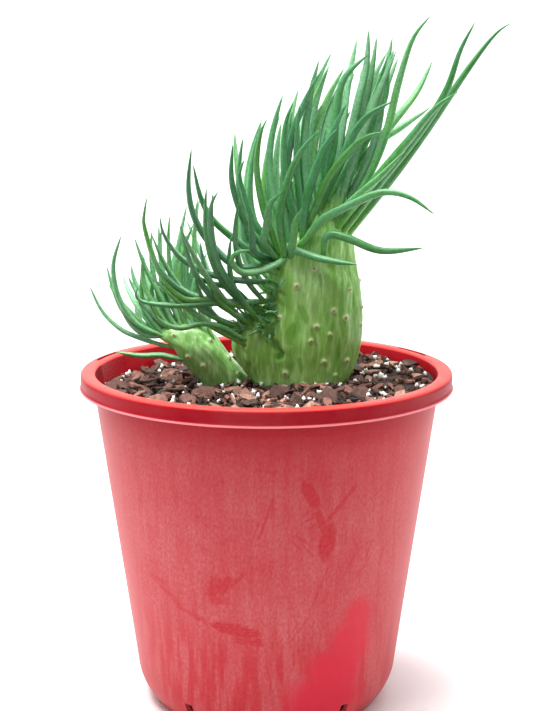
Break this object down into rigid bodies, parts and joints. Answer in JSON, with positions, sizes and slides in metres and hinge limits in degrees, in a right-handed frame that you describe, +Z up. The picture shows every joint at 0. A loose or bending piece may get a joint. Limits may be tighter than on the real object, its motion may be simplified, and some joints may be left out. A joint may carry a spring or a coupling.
{
  "type": "potted chalk sticks",
  "caption": "Crested chalk sticks with finger-like green leaves on two fan-shaped stems, growing in bark mix in a round red plastic nursery pot.",
  "frame": {"origin": "centre of the pot's foot, on the surface it stands on", "axes": "+Z up along the pot's axis, +X toward the tall leaves, -Y toward the viewer of the picture"},
  "size_m": [0.2284, 0.2008, 0.37],
  "materials": {
    "pot": "dusty satin red plastic",
    "mix": "rough bark chips with white perlite",
    "plant": "waxy pale green succulent skin"
  },
  "bodies": {
    "root": {"nursery_pot": "pot", "potting_mix": "mix", "main_crest": "plant", "side_crest": "plant"}
  },
  "joints": []
}
